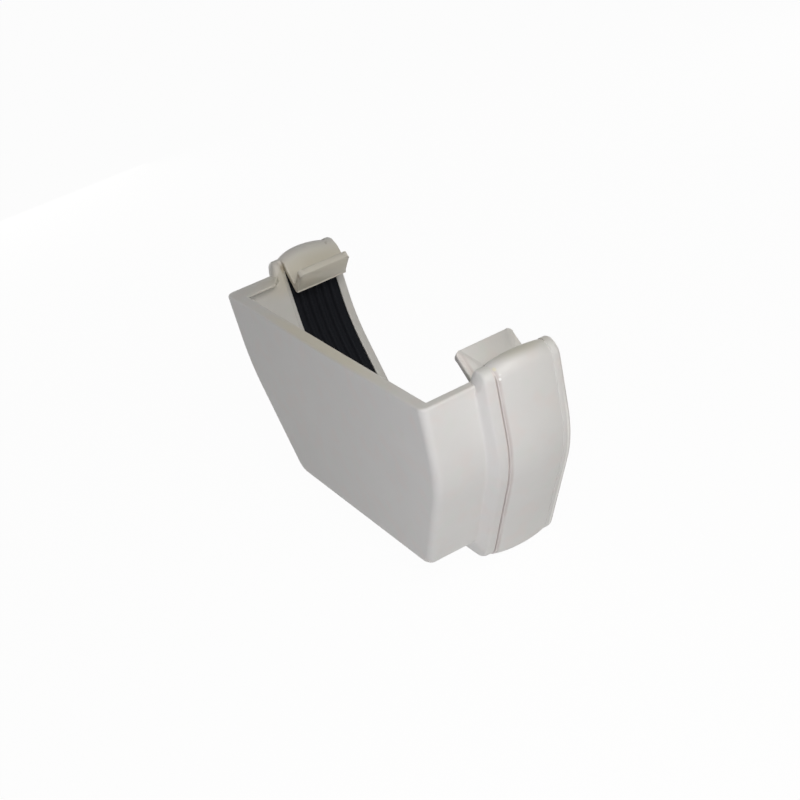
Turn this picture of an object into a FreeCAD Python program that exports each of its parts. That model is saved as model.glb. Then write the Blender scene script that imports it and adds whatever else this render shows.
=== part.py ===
import FreeCAD, Part
import math
import os

# Stop end for a faceted rainwater gutter: a moulded body and the rubber seal in its socket.
# Millimetres. X across the gutter, Y along it away from the end plate, Z up.
# The origin is where the gutter's end stops when it is pushed home: mid width, level with the
# top of the channel. The functions below measure Y from the end plate's face instead.

V = FreeCAD.Vector

# Gutter line: the outside of the short channel behind the end plate
channel_top_width = 116.0
channel_kink_width = 112.0
channel_bottom_width = 75.4
channel_kink_depth = 22.0
channel_depth = 52.6
channel_length = 17.6
wall = 3.0
plate_thickness = 3.1

# Rounding of the gutter line and of the plate's edges
kink_radius = 35.0
bottom_corner_radius = 6.0
plate_edge_radius = 2.3
plate_top_radius = 0.7

# Ledge inside the top of the left wall
ledge_reach = 3.4
ledge_thickness = 0.8
ledge_droop = 0.7
ledge_length = 10.3
ledge_end_slant = 35.0

# Collar along Y: its length past the channel, its groove and the bead at its far edge
collar_length = 18.9
groove_setback = 1.0
groove_width = 0.35
groove_depth = 0.45
groove_top = 2.6
bead_width = 2.3

# Collar: how far each part of it stands outside the gutter line, and how much more below
band_out = 3.2
band_drop = 3.2
crown_out = [3.5, 4.25, 4.4, 4.2, 3.65]
crown_drop = [3.2, 3.3, 3.5, 3.6, 3.3]
bead_out = 3.8
bead_drop = 3.0
collar_tuck = 0.9
collar_corner_radius = 7.0

# Ramp in front of the collar: distance back from the channel's end, and share of full height.
# It starts just inside the wall, so that it comes out of it without a step.
ramp = [(3.8, -0.08), (3.1, 0.12), (2.4, 0.6), (1.7, 0.93), (0.9, 1.0)]
ramp_sink = 2.2
ramp_arch_radius = 1.2

# Rounding of the bead's far edge: distance back from the end, and height lost there
bead_rounding = [(0.8, 0.0), (0.25, 0.22), (0.0, 0.75)]

# Clips: the collar rolled over and down on the inside, with a lip turned up again
clip_slope = 54.0
clip_foot_inset = 7.4
clip_foot_depth = 4.4
clip_thickness = 2.0
clip_arch_radius = 3.5
band_arch_radius = 3.0
band_sink = 0.35
clip_setback = 1.3
clip_end_reach = 4.5
clip_clearance = 3.0
pocket_peak_radius = 0.3

# Lips: the right one is a little longer and sits a little further back than its clip
lip_slope = 46.0
lip_thickness = 2.0
lip_corner_radius = 1.4
heel_inset = 0.5
heel_rise = 0.1
left_lip_length = 8.7
right_lip_length = 9.8
right_lip_overhang = 1.1
right_lip_shortfall = 1.3

# Socket that takes the gutter's end, and the pocket for the seal
mouth_inset = 1.0
mouth_drop = 0.8
seal_pocket_depth = 2.4
seal_setback = 1.6
seal_end_wall = 2.4

# Seal
seal_top = -0.6
seal_land = 0.5
seal_sink = 0.6
seal_rib_count = 5
seal_rib_height = 0.7
seal_rib_width = 1.6
seal_rib_crest = 0.5

# Cutters run this far past what they open
beyond = 5.0
open_height = 12.0
near = 0.01

# Places that follow from the sizes above
body_length = channel_length + collar_length
groove_at = channel_length + groove_setback
bead_start = body_length - bead_width
clip_start = channel_length + clip_setback
clip_end = body_length - clip_setback
seal_from = channel_length + seal_setback
seal_to = body_length - seal_end_wall
clip_foot = (channel_top_width / 2.0 - clip_foot_inset, -clip_foot_depth)


def meet(p, d, q, e):
    """Point where the line from p along d meets the line from q along e, in X and Z."""
    cross = d[0] * e[1] - d[1] * e[0]
    t = ((q[0] - p[0]) * e[1] - (q[1] - p[1]) * e[0]) / cross
    return (p[0] + d[0] * t, p[1] + d[1] * t)


def facet(index, out):
    """One side facet of the right wall, upper (0) or lower (1), moved outward by out."""
    points = [
        (channel_top_width / 2.0, 0.0),
        (channel_kink_width / 2.0, -channel_kink_depth),
        (channel_bottom_width / 2.0, -channel_depth),
    ]
    start, end = points[index], points[index + 1]
    dx, dz = end[0] - start[0], end[1] - start[1]
    length = math.hypot(dx, dz)
    return (start[0] - dz / length * out, start[1] + dx / length * out), (dx / length, dz / length)


def wall_line(out, drop, tuck=0.0):
    """Kink and bottom corner of the right wall for a line that stands out and drops below."""
    upper, upper_way = facet(0, out)
    lower, lower_way = facet(1, out)
    kink = meet(upper, upper_way, lower, lower_way)
    corner = meet(lower, lower_way, (0.0, -channel_depth - drop), (1.0, 0.0))
    return kink, (corner[0] - tuck, corner[1])


def wall_top(out, z):
    """Point of the upper facet's line at height z."""
    upper, way = facet(0, out)
    return meet(upper, way, (0.0, z), (1.0, 0.0))


def rounded_loop(points, radii, y):
    """Closed wire through X, Z points at one Y, each corner rounded by its own radius."""
    count = len(points)
    edges = []
    last = None
    first = None
    for i in range(count):
        here = V(points[i][0], y, points[i][1])
        before = V(points[i - 1][0], y, points[i - 1][1])
        after = V(points[(i + 1) % count][0], y, points[(i + 1) % count][1])
        to_before = (before - here).normalize()
        to_after = (after - here).normalize()
        radius = radii[i]
        if radius > 0:
            half = to_before.getAngle(to_after) / 2.0
            reach = radius / math.tan(half)
            start = here + to_before * reach
            end = here + to_after * reach
            bisector = (to_before + to_after).normalize()
            middle = here + bisector * (radius / math.sin(half) - radius)
            arc = Part.Arc(start, middle, end).toShape()
        else:
            start = here
            end = here
            arc = None
        if last is None:
            first = start
        else:
            edges.append(Part.makeLine(last, start))
        if arc:
            edges.append(arc)
        last = end
    edges.append(Part.makeLine(last, first))
    return Part.Wire(edges)


def mirrored_loop(right, radii, y):
    """Closed wire from the right-hand points and their mirror images."""
    left = [(-x, z) for x, z in reversed(right)]
    return rounded_loop(right + left, radii + radii[::-1], y)


def trough_wire(y, out, drop, top):
    """Gutter line moved outward, closed straight across at height top."""
    kink, corner = wall_line(out, drop)
    right = [wall_top(out, top), kink, corner]
    return mirrored_loop(right, [0.0, kink_radius + out, bottom_corner_radius + out], y)


def prism(wire, length):
    """Solid from a closed wire pushed along Y."""
    return Part.Face(wire).extrude(V(0, length, 0))


def plate_and_channel():
    """End plate with the short channel behind it, its front edges rounded."""
    solid = prism(trough_wire(0.0, 0.0, 0.0, 0.0), channel_length)
    front = []
    for edge in solid.Edges:
        box = edge.BoundBox
        if box.YMax < near and box.ZMin < -near:
            front.append(edge)
    solid = solid.makeFillet(plate_edge_radius, front)
    top = []
    for edge in solid.Edges:
        box = edge.BoundBox
        if box.YMax < near and box.ZMin > -near:
            top.append(edge)
    return solid.makeFillet(plate_top_radius, top)


def clip_line(sink):
    """Clip slope on the right: a point and a way, moved down into the clip by sink."""
    angle = math.radians(clip_slope)
    way = (math.cos(angle), math.sin(angle))
    point = (clip_foot[0] + math.sin(angle) * sink, clip_foot[1] - math.cos(angle) * sink)
    return point, way


def collar_wire(y, out, drop, sink=0.0, arch=clip_arch_radius, corner=collar_corner_radius):
    """Outline of the collar: walls, rolled tops and the slopes that run in and down."""
    kink, low = wall_line(out, drop, collar_tuck * out / bead_out)
    foot, way = clip_line(sink)
    upper, upper_way = facet(0, out)
    peak = meet(foot, way, upper, upper_way)
    return mirrored_loop([foot, peak, kink, low], [0.0, arch, kink_radius + out, corner], y)


def near_band():
    """Soft ramp up from the channel and the plain band in front of the groove."""
    stations = [(channel_length - back, share) for back, share in ramp]
    stations.append((groove_at, 1.0))
    wires = []
    for y, share in stations:
        out = band_out * share
        drop = (band_out + band_drop) * share
        sink = band_sink + ramp_sink * (1.0 - share)
        arch = ramp_arch_radius + (band_arch_radius - ramp_arch_radius) * share
        corner = bottom_corner_radius + (collar_corner_radius - bottom_corner_radius) * share
        wires.append(collar_wire(y, out, drop, sink, arch, corner))
    return Part.makeLoft(wires, True, True)


def main_band():
    """Barrel-shaped band between the groove and the bead."""
    wires = []
    steps = len(crown_out) - 1
    for i, out in enumerate(crown_out):
        y = groove_at + (bead_start - groove_at) * i / steps
        wires.append(collar_wire(y, out, out + crown_drop[i]))
    return Part.makeLoft(wires, True, False)


def bead():
    """Raised bead round the far edge."""
    wires = [collar_wire(bead_start, bead_out, bead_out + bead_drop)]
    for back, lost in bead_rounding:
        out = bead_out - lost
        wires.append(collar_wire(body_length - back, out, out + bead_drop))
    return Part.makeLoft(wires, True, True)


def groove():
    """Fine groove where the near band meets the main band, up to the rolled tops."""
    y = groove_at - groove_width / 2.0
    out = band_out - groove_depth
    drop = band_out + band_drop - groove_depth
    outer = trough_wire(y, band_out + beyond, band_out + band_drop + beyond, groove_top)
    kink, corner = wall_line(out, drop, collar_tuck * band_out / bead_out)
    right = [wall_top(out, groove_top), kink, corner]
    inner = mirrored_loop(right, [0.0, kink_radius, collar_corner_radius], y)
    return prism(outer, groove_width).cut(prism(inner, groove_width))


def channel_hollow():
    """Inside of the channel, open upward."""
    wire = trough_wire(plate_thickness, -wall, -wall, open_height)
    return prism(wire, channel_length - plate_thickness)


def slit_hollow():
    """Socket in front of the clips, open upward so that the clips stand free of the band."""
    wire = trough_wire(channel_length, -mouth_inset, mouth_drop, open_height)
    return prism(wire, clip_start - channel_length)


def opening_box(half_width, start):
    """Box open upward between the clips, from start to past the collar's end."""
    length = body_length + beyond - start
    height = open_height + clip_foot_depth + clip_clearance
    corner = V(-half_width, start, -clip_foot_depth - clip_clearance)
    return Part.makeBox(2 * half_width, length, height, corner)


def socket_hollow():
    """Socket under the clips: the gutter line with a pocket below each rolled top."""
    kink, corner = wall_line(-mouth_inset, mouth_drop)
    tip, way = clip_line(clip_thickness)
    upper, upper_way = facet(0, -mouth_inset)
    peak = meet(tip, way, upper, upper_way)
    radii = [0.0, pocket_peak_radius, kink_radius - mouth_inset, bottom_corner_radius - mouth_inset]
    wire = mirrored_loop([tip, peak, kink, corner], radii, channel_length)
    lower = prism(wire, collar_length + beyond)
    between = opening_box(clip_foot[0], channel_length)
    past_clips = opening_box(channel_top_width / 2.0 - clip_end_reach, clip_end)
    return lower.fuse([between, past_clips])


def pocket_wire(y):
    """Outline of the pocket that holds the seal, up to the seal's top."""
    out = seal_pocket_depth - mouth_inset
    return trough_wire(y, out, mouth_drop + seal_pocket_depth, seal_top)


def seal_pocket():
    """Pocket for the seal, cut outward from the socket."""
    length = seal_to - seal_from
    socket = prism(trough_wire(seal_from, -mouth_inset, mouth_drop, beyond), length)
    return prism(pocket_wire(seal_from), length).cut(socket)


def lip(length, start, end):
    """Plate turned up from the right clip's foot, with rounded free corners."""
    plate = Part.makeBox(length, end - start, lip_thickness,
                         V(0, start, -lip_thickness / 2.0))
    corners = []
    for edge in plate.Edges:
        box = edge.BoundBox
        if box.XMin > length - near and box.ZLength > lip_thickness / 2.0:
            corners.append(edge)
    plate = plate.makeFillet(lip_corner_radius, corners)
    plate.rotate(V(0, 0, 0), V(0, 1, 0), 180.0 + lip_slope)
    plate.translate(V(clip_foot[0] + heel_inset, 0, clip_foot[1] + heel_rise))
    return plate


def heel(start, end):
    """Rounded heel where the right clip's slope turns into its lip."""
    centre = V(clip_foot[0] + heel_inset, start, clip_foot[1] + heel_rise)
    return Part.makeCylinder(lip_thickness / 2.0, end - start, centre, V(0, 1, 0))


def to_left(shape):
    """Mirror image on the left-hand side."""
    return shape.mirror(V(0, 0, 0), V(1, 0, 0))


def left_ledge():
    """Ledge inside the top of the left wall: flush with it, drooping inward, its end slanted."""
    buried = wall_top(-wall / 2.0, 0.0)[0]
    joint = wall_top(-wall, 0.0)[0]
    tip = joint - ledge_reach
    start = plate_thickness / 2.0
    end = plate_thickness + ledge_length
    root_end = end + (buried - tip) * math.tan(math.radians(ledge_end_slant))
    points = [
        V(-buried, start, 0.0),
        V(-joint, start, 0.0),
        V(-tip, start, -ledge_droop),
        V(-tip, start, -ledge_droop - ledge_thickness),
        V(-buried, start, -ledge_droop - ledge_thickness),
    ]
    section = Part.Face(Part.makePolygon(points + [points[0]])).extrude(V(0, root_end - start, 0))
    corners = [
        V(-buried, start, -beyond),
        V(-tip, start, -beyond),
        V(-tip, end, -beyond),
        V(-buried, root_end, -beyond),
    ]
    plan = Part.Face(Part.makePolygon(corners + [corners[0]])).extrude(V(0, 0, 2 * beyond))
    return section.common(plan)


def make_body():
    """The whole moulding."""
    body = plate_and_channel()
    body = body.fuse([near_band(), main_band(), bead()])
    body = body.cut(channel_hollow())
    body = body.cut(slit_hollow())
    body = body.cut(socket_hollow())
    body = body.cut(seal_pocket())
    body = body.cut(groove())
    right_from = clip_start - right_lip_overhang
    right_to = clip_end - right_lip_shortfall
    body = body.fuse([
        heel(right_from, right_to),
        lip(right_lip_length, right_from, right_to),
        to_left(heel(clip_start, clip_end)),
        to_left(lip(left_lip_length, clip_start, clip_end)),
    ])
    body = body.fuse(left_ledge())
    return body.removeSplitter()


def rib_stations():
    """Y and height of the seal's ribbed face from end to end, one peak for each rib."""
    pitch = (seal_to - seal_from) / (seal_rib_count + 1.0)
    stations = [(seal_from - seal_land, 0.0), (seal_from + seal_land, 0.0)]
    for i in range(seal_rib_count):
        middle = seal_from + pitch * (i + 1.0)
        stations.append((middle - seal_rib_width / 2.0, 0.0))
        stations.append((middle - seal_rib_crest / 2.0, seal_rib_height))
        stations.append((middle + seal_rib_crest / 2.0, seal_rib_height))
        stations.append((middle + seal_rib_width / 2.0, 0.0))
    stations.append((seal_to + seal_land, 0.0))
    return stations


def make_seal():
    """Rubber strip in the pocket, ribbed on the side that meets the gutter."""
    block = prism(pocket_wire(seal_from), seal_to - seal_from)
    wires = []
    for y, rib in rib_stations():
        inset = rib - seal_sink
        wires.append(trough_wire(y, -mouth_inset - inset, mouth_drop - inset, beyond))
    inside = Part.makeLoft(wires, True, True)
    return block.cut(inside)


os.makedirs("parts", exist_ok=True)
body_shape = make_body()
seal_shape = make_seal()
to_origin = V(0, -channel_length, 0)
body_shape.translate(to_origin)
seal_shape.translate(to_origin)
body_shape.exportStep("parts/stop_end_body.step")
seal_shape.exportStep("parts/rubber_seal.step")
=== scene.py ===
import math

import bmesh
import bpy
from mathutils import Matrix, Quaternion, Vector


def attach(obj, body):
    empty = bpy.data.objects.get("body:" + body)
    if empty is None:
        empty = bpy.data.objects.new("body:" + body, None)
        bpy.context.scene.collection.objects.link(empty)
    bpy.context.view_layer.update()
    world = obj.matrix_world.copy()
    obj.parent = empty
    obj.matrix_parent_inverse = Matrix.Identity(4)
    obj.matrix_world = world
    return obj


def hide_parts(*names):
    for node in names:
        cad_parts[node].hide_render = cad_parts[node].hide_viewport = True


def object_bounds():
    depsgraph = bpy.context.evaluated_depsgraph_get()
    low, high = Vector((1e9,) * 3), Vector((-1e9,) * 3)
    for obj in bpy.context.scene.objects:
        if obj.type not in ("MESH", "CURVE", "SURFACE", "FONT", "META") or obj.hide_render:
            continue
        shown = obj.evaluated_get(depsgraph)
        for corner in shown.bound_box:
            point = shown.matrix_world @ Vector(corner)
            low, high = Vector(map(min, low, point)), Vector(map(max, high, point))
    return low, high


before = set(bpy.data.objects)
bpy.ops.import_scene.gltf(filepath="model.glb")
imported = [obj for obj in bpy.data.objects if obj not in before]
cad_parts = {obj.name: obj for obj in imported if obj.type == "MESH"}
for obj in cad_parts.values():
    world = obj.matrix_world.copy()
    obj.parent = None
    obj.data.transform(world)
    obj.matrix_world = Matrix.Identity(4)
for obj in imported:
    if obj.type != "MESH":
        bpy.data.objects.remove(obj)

# Stop end for a faceted house gutter: one white plastic moulding and the black rubber seal in
# its socket. X across the gutter, Y along it away from the end plate, Z up, in metres.

cad_low, cad_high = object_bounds()

MM = 0.001

# Camera: place and aim in millimetres, roll in degrees, lens and sensor in millimetres, and the
# nearest and farthest distance that it sees, in metres
camera_at = (340.8, -140.0, 152.6)
camera_aim = (-0.45, 2.64, -25.55)
camera_roll = -15.06
camera_lens = 68.45
sensor_width = 36.0
camera_reach = (0.01, 50.0)

# Light: strength and colour of the even surroundings, and the soft boxes with place and side in
# metres, power in watts and colour
surroundings = 0.09
surroundings_colour = "#FFFDF5"
lamps = [
    ("key_light", (0.26, -0.02, 0.20), 0.20, 0.555, "#FFFCF4"),
    ("front_light", (0.25, -0.22, 0.00), 0.12, 0.227, "#F3F4FF"),
    ("side_light", (0.30, -0.05, -0.01), 0.10, 0.025, "#E8EAFF"),
    ("back_light", (-0.14, 0.46, -0.02), 0.20, 0.58, "#FFFDF8"),
    ("left_light", (-0.44, -0.02, -0.03), 0.20, 0.32, "#FFFDF8"),
]

# Floor: half its side in metres, its colour and how much of the white that the camera sees is
# its own glow
floor_half_side = 6.0
floor_colour = "#F2F2F0"
floor_glow = 0.97

# Rounding of the edges in millimetres and its facets; an edge shorter than shortest_edge stays
# as it is, and corners nearer than merge_gap become one
edge_radius = 0.3
seal_edge_radius = 0.12
edge_facets = 3
shortest_edge = 0.2
merge_gap = 0.002

# Edges that turn by more than this angle are rounded, in degrees
sharp_angle = 28.0

# Fine steps that stay crisp, as lowest and highest |X|, Y and Z in millimetres
crisp_boxes = [
    ((0.0, 0.72, -70.0), (70.0, 1.28, 10.0)),      # groove
    ((0.0, 16.35, -70.0), (70.0, 16.85, 10.0)),    # bead
    ((54.0, -3.7, -3.0), (60.0, -1.9, 1.0)),       # ramp where it leaves the wall's top
    ((55.0, -0.3, 0.5), (58.5, 1.45, 3.6)),        # peak of the slit under the rolled top
    ((50.0, -0.2, -6.0), (52.4, 18.0, -4.55)),     # heels under the clips
    ((50.2, 16.0, -4.7), (52.4, 17.0, -3.2)),      # end of the right lip
    ((53.0, 18.3, -4.0), (56.0, 19.0, 2.8)),       # end of the clip slopes
]

# The bead's rounding at the collar's end has facets enough, and is only shaded smooth
smooth_box = ((0.0, 18.5, -70.0), (70.0, 18.8, 10.0))

# Plastic: its two off-whites with the size of their patches in millimetres, and two fainter
# clouds, each with its patches' size, colour, the noise values between which it comes in, and
# its strongest share
plastic_colours = ("#D8D7D6", "#E1E0DF")
plastic_patches = 18.0
clouds = [
    (5.5, "#E0D6D3", (0.45, 0.75), 0.35),
    (4.5, "#D6DCD6", (0.5, 0.8), 0.3),
]

# Lines round the outside of the collar: the groove, the dust and painted shade on the shoulder
# beside it and a painted highlight along the bead's crest, each with its colour and four places
# along Y, in millimetres, between which it comes in and goes out
groove_colour = "#E0DAD8"
groove_side = (0.62, 0.75, 1.25, 1.38)
# Dust and painted shade on the shoulder beside the groove
dust_and_shade_colour = "#C6BDBB"
dust_and_shade_side = (1.15, 1.35, 1.5, 2.3)
# Painted highlight along the bead's crest
crest_highlight_colour = "#F7F6F4"
crest_highlight_side = (17.5, 17.85, 18.15, 18.5)

# Dust and painted shade on the groove's shoulder: size of its patches in millimetres, the noise
# values that they run between, and its share at each
dust_and_shade_patches = 7.0
dust_and_shade_noise = (0.3, 0.6)
dust_and_shade_share = (0.4, 0.8)

# Heights in millimetres between which the lines fade out at the collar's tops, and between
# which the crest's painted highlight goes from its full share to none
line_top = (2.2, 3.4)
crest_highlight_top = (-22.0, -4.0)
crest_highlight_share = 0.9

# Middle of the channel's section, in millimetres. A face's distance from it counts as negative
# where the face looks towards it, on the inside, and the lines are gone at -outside_fade.
channel_middle = (0.0, 0.0, -25.0)
outside_fade = 2.0

# Marks on the plastic: middle and radii in millimetres, colour and how strong. Each is even up
# to mark_core of its radii, and fades from there.
# Besides dirt and a speck, some marks are painted warm light, painted shade and painted glints.
mark_core = 0.35
marks = [
    ((-56.2, 0.9, 0.9), (1.6, 1.3, 2.6), "#8A7658", 0.8),        # grime in the left crease
    ((-55.2, 1.2, 3.0), (1.2, 0.8, 1.4), "#95866C", 0.5),        # upper end of that crease
    ((-46.3, 1.3, 0.7), (0.8, 0.9, 1.2), "#8E7A5C", 0.85),       # brown darkening at the left lip's near end
    ((-50.0, 8.0, -1.0), (14.0, 24.0, 9.0), "#DBD3BC", 0.55),    # painted warm light on the left clip
    ((-56.4, 16.1, 3.1), (0.7, 0.5, 0.6), "#A39C90", 0.4),       # speck on the left clip
    ((57.0, 10.5, 4.9), (6.5, 11.0, 2.8), "#C4C1B5", 0.8),       # painted shade on the right rolled top
    ((2.0, -16.0, 0.3), (46.0, 3.5, 1.6), "#DDD5BC", 0.6),       # painted warm light on the plate's top rim
    ((61.7, 1.9, 0.7), (0.6, 0.45, 0.5), "#FFFFFF", 0.9),        # painted glint beside the groove
    ((61.6, 2.2, 1.7), (0.5, 0.4, 0.35), "#FFFFFF", 0.35),       # fainter painted glint above it
    ((60.3, 1.7, 2.9), (0.9, 0.6, 0.6), "#E4DFC8", 0.8),         # painted warm light at the groove's top
]

# Rubber: a bluish black
rubber_colour = "#1A1C22"

# Relief: size and height of the plastic's orange peel and of the rubber's grain, in
# millimetres. The real grain is finer, and is drawn this coarse to show.
peel_size = 1.2
peel_height = 0.02
grain_size = 0.6
grain_height = 0.03

# Sockets of a node that mixes two colours: their share, the colours and the result
MIX_SHARE, MIX_FIRST, MIX_SECOND, MIX_RESULT = 0, 6, 7, 2


def linear(hex_colour):
    """sRGB hex colour as linear red, green, blue and alpha."""
    parts = [int(hex_colour[i:i + 2], 16) / 255.0 for i in (1, 3, 5)]
    turned = [p / 12.92 if p <= 0.04045 else ((p + 0.055) / 1.055) ** 2.4 for p in parts]
    return (*turned, 1.0)


def add_node(tree, kind, settings=None, inputs=None):
    """Adds a node with its settings and its inputs, each a value or the output of another node,
    and gives back its outputs."""
    node = tree.nodes.new(kind)
    for name, value in (settings or {}).items():
        setattr(node, name, value)
    for name, value in (inputs or {}).items():
        if isinstance(value, bpy.types.NodeSocket):
            tree.links.new(value, node.inputs[name])
        else:
            node.inputs[name].default_value = value
    return node.outputs


def new_material(name):
    """Empty material and its node tree."""
    material = bpy.data.materials.new(name)
    material.use_nodes = True
    material.node_tree.nodes.clear()
    return material, material.node_tree


def spot(tree, place, middle, radii):
    """1 in the middle of an egg-shaped spot and 0 outside it, all in millimetres."""
    moved = add_node(tree, "ShaderNodeVectorMath", {"operation": "SUBTRACT"},
                     {0: place, 1: [v * MM for v in middle]})[0]
    sized = add_node(tree, "ShaderNodeVectorMath", {"operation": "DIVIDE"},
                     {0: moved, 1: [v * MM for v in radii]})[0]
    far = add_node(tree, "ShaderNodeVectorMath", {"operation": "LENGTH"}, {0: sized})["Value"]
    return add_node(tree, "ShaderNodeMapRange", {"interpolation_type": "SMOOTHSTEP"},
                    {"Value": far, "From Min": mark_core, "From Max": 1.0,
                     "To Min": 1.0, "To Max": 0.0})["Result"]


def line_round(tree, along, side, outside):
    """1 between the middle two of four places along Y and 0 past the outer two, in millimetres,
    on the outside alone."""
    rising = add_node(tree, "ShaderNodeMapRange", {"interpolation_type": "SMOOTHSTEP"},
                      {"Value": along, "From Min": side[0] * MM, "From Max": side[1] * MM,
                       "To Min": 0.0, "To Max": 1.0})["Result"]
    falling = add_node(tree, "ShaderNodeMapRange", {"interpolation_type": "SMOOTHSTEP"},
                       {"Value": along, "From Min": side[2] * MM, "From Max": side[3] * MM,
                        "To Min": 1.0, "To Max": 0.0})["Result"]
    both = add_node(tree, "ShaderNodeMath", {"operation": "MULTIPLY"}, {0: rising, 1: falling})[0]
    return add_node(tree, "ShaderNodeMath", {"operation": "MULTIPLY"}, {0: both, 1: outside})[0]


def outer_side(tree, place, height, normal):
    """1 on the outside of the channel, below the lines' tops, and 0 on its inside."""
    moved = add_node(tree, "ShaderNodeVectorMath", {"operation": "SUBTRACT"},
                     {0: place, 1: [v * MM for v in channel_middle]})[0]
    outwards = add_node(tree, "ShaderNodeVectorMath", {"operation": "MULTIPLY"},
                        {0: moved, 1: (1.0, 0.0, 1.0)})[0]
    facing = add_node(tree, "ShaderNodeVectorMath", {"operation": "DOT_PRODUCT"},
                      {0: outwards, 1: normal})["Value"]
    outside = add_node(tree, "ShaderNodeMapRange", {"interpolation_type": "SMOOTHSTEP"},
                       {"Value": facing, "From Min": -outside_fade * MM, "From Max": 0.0,
                        "To Min": 0.0, "To Max": 1.0})["Result"]
    below = add_node(tree, "ShaderNodeMapRange", {"interpolation_type": "SMOOTHSTEP"},
                     {"Value": height, "From Min": line_top[0] * MM, "From Max": line_top[1] * MM,
                      "To Min": 1.0, "To Max": 0.0})["Result"]
    return add_node(tree, "ShaderNodeMath", {"operation": "MULTIPLY"}, {0: outside, 1: below})[0]


def cloudy_white(tree, place):
    """Off-white that drifts a little, with the two faint clouds."""
    drift = add_node(tree, "ShaderNodeTexNoise",
                     inputs={"Vector": place, "Scale": 1 / (plastic_patches * MM),
                             "Detail": 3.0})["Fac"]
    colour = add_node(tree, "ShaderNodeMix", {"data_type": "RGBA"},
                      {MIX_SHARE: drift, MIX_FIRST: linear(plastic_colours[0]),
                       MIX_SECOND: linear(plastic_colours[1])})[MIX_RESULT]
    for patches, cloud_colour, (low, high), strongest in clouds:
        drift = add_node(tree, "ShaderNodeTexNoise",
                         inputs={"Vector": place, "Scale": 1 / (patches * MM),
                                 "Detail": 1.0})["Fac"]
        share = add_node(tree, "ShaderNodeMapRange", {"interpolation_type": "SMOOTHSTEP"},
                         {"Value": drift, "From Min": low, "From Max": high,
                          "To Min": 0.0, "To Max": strongest})["Result"]
        colour = add_node(tree, "ShaderNodeMix", {"data_type": "RGBA"},
                          {MIX_SHARE: share, MIX_FIRST: colour,
                           MIX_SECOND: linear(cloud_colour)})[MIX_RESULT]
    return colour


def collar_shares(tree, place, normal):
    """Colours of the lines round the collar and where each of them shows."""
    axes = add_node(tree, "ShaderNodeSeparateXYZ", inputs={"Vector": place})
    outside = outer_side(tree, place, axes["Z"], normal)
    # Patchy dust and painted shade on the shoulder beside the groove
    drift = add_node(tree, "ShaderNodeTexNoise",
                     inputs={"Vector": place, "Scale": 1 / (dust_and_shade_patches * MM),
                             "Detail": 2.0})["Fac"]
    patchy = add_node(tree, "ShaderNodeMapRange", {"interpolation_type": "SMOOTHSTEP"},
                     {"Value": drift, "From Min": dust_and_shade_noise[0], "From Max": dust_and_shade_noise[1],
                      "To Min": dust_and_shade_share[0], "To Max": dust_and_shade_share[1]})["Result"]
    dust_and_shade = add_node(tree, "ShaderNodeMath", {"operation": "MULTIPLY"},
                    {0: line_round(tree, axes["Y"], dust_and_shade_side, outside), 1: patchy})[0]
    groove = line_round(tree, axes["Y"], groove_side, outside)
    # Painted highlight along the bead's crest, strongest low down and gone towards the top
    highlight_fade = add_node(tree, "ShaderNodeMapRange", {"interpolation_type": "SMOOTHSTEP"},
                      {"Value": axes["Z"], "From Min": crest_highlight_top[0] * MM,
                       "From Max": crest_highlight_top[1] * MM, "To Min": crest_highlight_share,
                       "To Max": 0.0})["Result"]
    crest_highlight = add_node(tree, "ShaderNodeMath", {"operation": "MULTIPLY"},
                     {0: line_round(tree, axes["Y"], crest_highlight_side, outside), 1: highlight_fade})[0]
    return [(dust_and_shade_colour, dust_and_shade), (groove_colour, groove), (crest_highlight_colour, crest_highlight)]


def mark_shares(tree, place):
    """Colours of the marks and where each of them shows."""
    shares = []
    for middle, radii, colour, strength in marks:
        share = add_node(tree, "ShaderNodeMath", {"operation": "MULTIPLY"},
                         {0: spot(tree, place, middle, radii), 1: strength})[0]
        shares.append((colour, share))
    return shares


def moulded_upvc():
    """Injection-moulded uPVC: opaque off-white with a satin sheen and a faint orange peel,
    slightly cloudy, with dust and painted shade beside its groove, a painted highlight along the
    bead's crest, dirt, a speck, and spots of painted warm light, painted shade and painted glints."""
    material, tree = new_material("moulded_upvc")
    coordinates = add_node(tree, "ShaderNodeTexCoord")
    place = coordinates["Object"]
    colour = cloudy_white(tree, place)
    layers = collar_shares(tree, place, coordinates["Normal"]) + mark_shares(tree, place)
    for layer_colour, share in layers:
        colour = add_node(tree, "ShaderNodeMix", {"data_type": "RGBA"},
                          {MIX_SHARE: share, MIX_FIRST: colour,
                           MIX_SECOND: linear(layer_colour)})[MIX_RESULT]
    peel = add_node(tree, "ShaderNodeTexNoise",
                    inputs={"Vector": place, "Scale": 1 / (peel_size * MM),
                            "Detail": 2.0})["Fac"]
    bump = add_node(tree, "ShaderNodeBump",
                    inputs={"Height": peel, "Strength": 0.5, "Distance": peel_height * MM})
    shader = add_node(tree, "ShaderNodeBsdfPrincipled",
                      inputs={"Base Color": colour, "Roughness": 0.45, "IOR": 1.53,
                              "Normal": bump["Normal"]})
    add_node(tree, "ShaderNodeOutputMaterial", inputs={"Surface": shader["BSDF"]})
    return material


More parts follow.
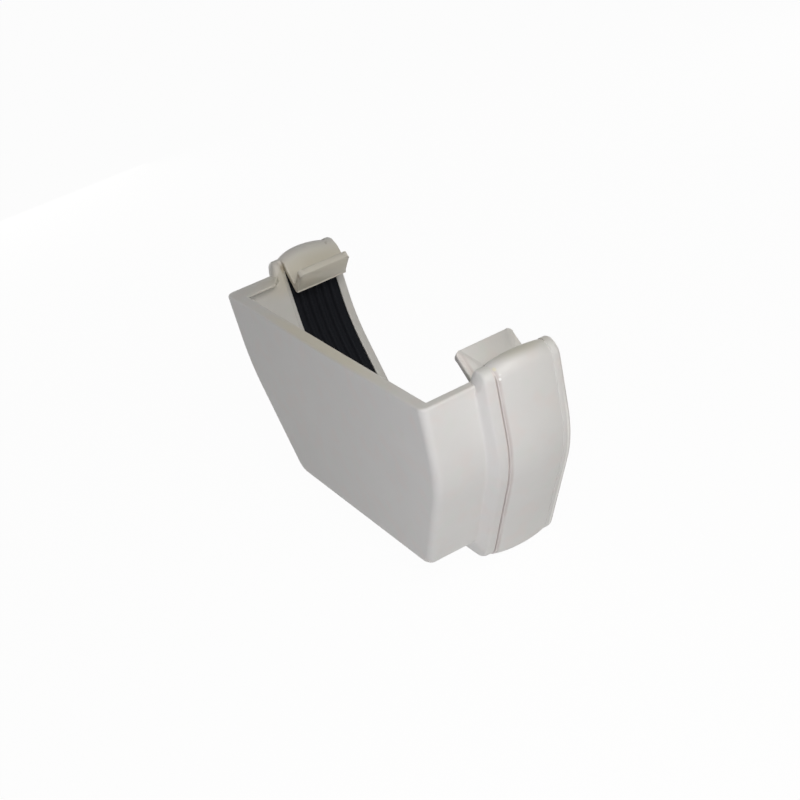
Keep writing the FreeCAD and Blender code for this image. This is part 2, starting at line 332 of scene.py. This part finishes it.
def epdm_rubber():
    """Extruded EPDM: deep bluish black and dull, with a fine grain."""
    material, tree = new_material("epdm_rubber")
    place = add_node(tree, "ShaderNodeTexCoord")["Object"]
    grain = add_node(tree, "ShaderNodeTexNoise",
                     inputs={"Vector": place, "Scale": 1 / (grain_size * MM),
                             "Detail": 2.0})["Fac"]
    bump = add_node(tree, "ShaderNodeBump",
                    inputs={"Height": grain, "Strength": 0.4, "Distance": grain_height * MM})
    shader = add_node(tree, "ShaderNodeBsdfPrincipled",
                      inputs={"Base Color": linear(rubber_colour), "Roughness": 0.75,
                              "IOR": 1.5, "Specular IOR Level": 0.12,
                              "Normal": bump["Normal"]})
    add_node(tree, "ShaderNodeOutputMaterial", inputs={"Surface": shader["BSDF"]})
    return material


def seen_rays(tree):
    """1 for rays that show the background: from the camera, in reflections and through glass."""
    rays = add_node(tree, "ShaderNodeLightPath")
    first = add_node(tree, "ShaderNodeMath", {"operation": "MAXIMUM"},
                     {0: rays["Is Camera Ray"], 1: rays["Is Glossy Ray"]})[0]
    return add_node(tree, "ShaderNodeMath", {"operation": "MAXIMUM"},
                    {0: first, 1: rays["Is Transmission Ray"]})[0]


def studio_floor():
    """Pale matt board that looks white to the camera and keeps the object's shadow."""
    material, tree = new_material("studio_floor")
    board = add_node(tree, "ShaderNodeBsdfDiffuse", inputs={"Color": linear(floor_colour)})[0]
    glow = add_node(tree, "ShaderNodeEmission", inputs={"Strength": 1.0})[0]
    share = add_node(tree, "ShaderNodeMath", {"operation": "MULTIPLY"},
                     {0: seen_rays(tree), 1: floor_glow})[0]
    mix = add_node(tree, "ShaderNodeMixShader", inputs={0: share, 1: board, 2: glow})[0]
    add_node(tree, "ShaderNodeOutputMaterial", inputs={"Surface": mix})
    return material


def add_object(name, data):
    """New object for a mesh, a camera or a lamp, in the scene."""
    thing = bpy.data.objects.new(name, data)
    bpy.context.scene.collection.objects.link(thing)
    return thing


def in_box(place, box):
    """Whether a place lies in a box that is stated for both sides, in millimetres."""
    point = (abs(place.x) / MM, place.y / MM, place.z / MM)
    return all(box[0][i] < point[i] < box[1][i] for i in range(3))


def softened(node, name, radius):
    """Copy of a CAD node, merged, with its sharp edges rounded."""
    work = bmesh.new()
    work.from_mesh(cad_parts[node].data)
    bmesh.ops.remove_doubles(work, verts=work.verts, dist=merge_gap * MM)
    weights = work.edges.layers.float.new("bevel_weight_edge")
    for edge in work.edges:
        if edge.calc_face_angle(0.0) > math.radians(sharp_angle):
            middle = (edge.verts[0].co + edge.verts[1].co) / 2.0
            crisp = any(in_box(middle, box) for box in crisp_boxes)
            if crisp or edge.calc_length() < shortest_edge * MM:
                edge.smooth = False
            elif not in_box(middle, smooth_box):
                edge[weights] = 1.0
    for face in work.faces:
        face.smooth = True
    mesh = bpy.data.meshes.new(name)
    work.to_mesh(mesh)
    work.free()
    piece = add_object(name, mesh)
    bevel = piece.modifiers.new("rounding", "BEVEL")
    bevel.limit_method = "WEIGHT"
    bevel.width = radius * MM
    bevel.segments = edge_facets
    bevel.use_clamp_overlap = False
    bevel.loop_slide = False
    bevel.harden_normals = True
    bpy.context.view_layer.update()
    graph = bpy.context.evaluated_depsgraph_get()
    finished = bpy.data.meshes.new_from_object(piece.evaluated_get(graph))
    piece.modifiers.clear()
    piece.data = finished
    finished.name = name
    return piece


def finish_piece(piece, node, material):
    """Gives a piece its material and its body, and hides the CAD node that it stands for."""
    piece.data.materials.clear()
    piece.data.materials.append(material)
    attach(piece, "root")
    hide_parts(node)


def make_floor():
    """Floor under the object's lowest point."""
    mesh = bpy.data.meshes.new("floor")
    corners = ((-1, -1), (1, -1), (1, 1), (-1, 1))
    mesh.from_pydata([(x * floor_half_side, y * floor_half_side, cad_low.z) for x, y in corners],
                     [], [(0, 1, 2, 3)])
    mesh.materials.append(studio_floor())
    add_object("floor", mesh)


def make_camera():
    """Camera at the photograph's angle."""
    data = bpy.data.cameras.new("camera")
    data.lens = camera_lens
    data.sensor_width = sensor_width
    data.clip_start, data.clip_end = camera_reach
    camera = add_object("camera", data)
    camera.location = Vector(camera_at) * MM
    camera.rotation_mode = "QUATERNION"
    way = Vector(camera_aim) * MM - camera.location
    roll = Quaternion((0.0, 0.0, 1.0), math.radians(camera_roll))
    camera.rotation_quaternion = way.to_track_quat("-Z", "Y") @ roll
    bpy.context.scene.camera = camera


def soft_box(name, place, side, power, hex_colour):
    """Square lamp at a place in metres, aimed at the object, that the camera doesn't see."""
    data = bpy.data.lights.new(name, "AREA")
    data.shape = "SQUARE"
    data.size = side
    data.energy = power
    data.color = linear(hex_colour)[:3]
    lamp = add_object(name, data)
    lamp.location = place
    lamp.visible_camera = False
    way = (cad_low + cad_high) / 2.0 - Vector(place)
    lamp.rotation_mode = "QUATERNION"
    lamp.rotation_quaternion = way.to_track_quat("-Z", "Y")


def light_scene():
    """Even surroundings, white where they are seen, and the soft boxes."""
    world = bpy.data.worlds.new("studio")
    bpy.context.scene.world = world
    world.use_nodes = True
    tree = world.node_tree
    tree.nodes.clear()
    around = add_node(tree, "ShaderNodeBackground",
                      inputs={"Color": linear(surroundings_colour), "Strength": surroundings})[0]
    white = add_node(tree, "ShaderNodeBackground",
                     inputs={"Color": (1.0, 1.0, 1.0, 1.0), "Strength": 1.0})[0]
    mix = add_node(tree, "ShaderNodeMixShader",
                   inputs={0: seen_rays(tree), 1: around, 2: white})[0]
    add_node(tree, "ShaderNodeOutputWorld", inputs={"Surface": mix})
    for name, place, side, power, colour in lamps:
        soft_box(name, place, side, power, colour)


bpy.context.scene.view_settings.view_transform = "Standard"
finish_piece(softened("stop_end_body", "moulded_body", edge_radius),
             "stop_end_body", moulded_upvc())
finish_piece(softened("rubber_seal", "ribbed_seal", seal_edge_radius),
             "rubber_seal", epdm_rubber())
make_floor()
make_camera()
light_scene()
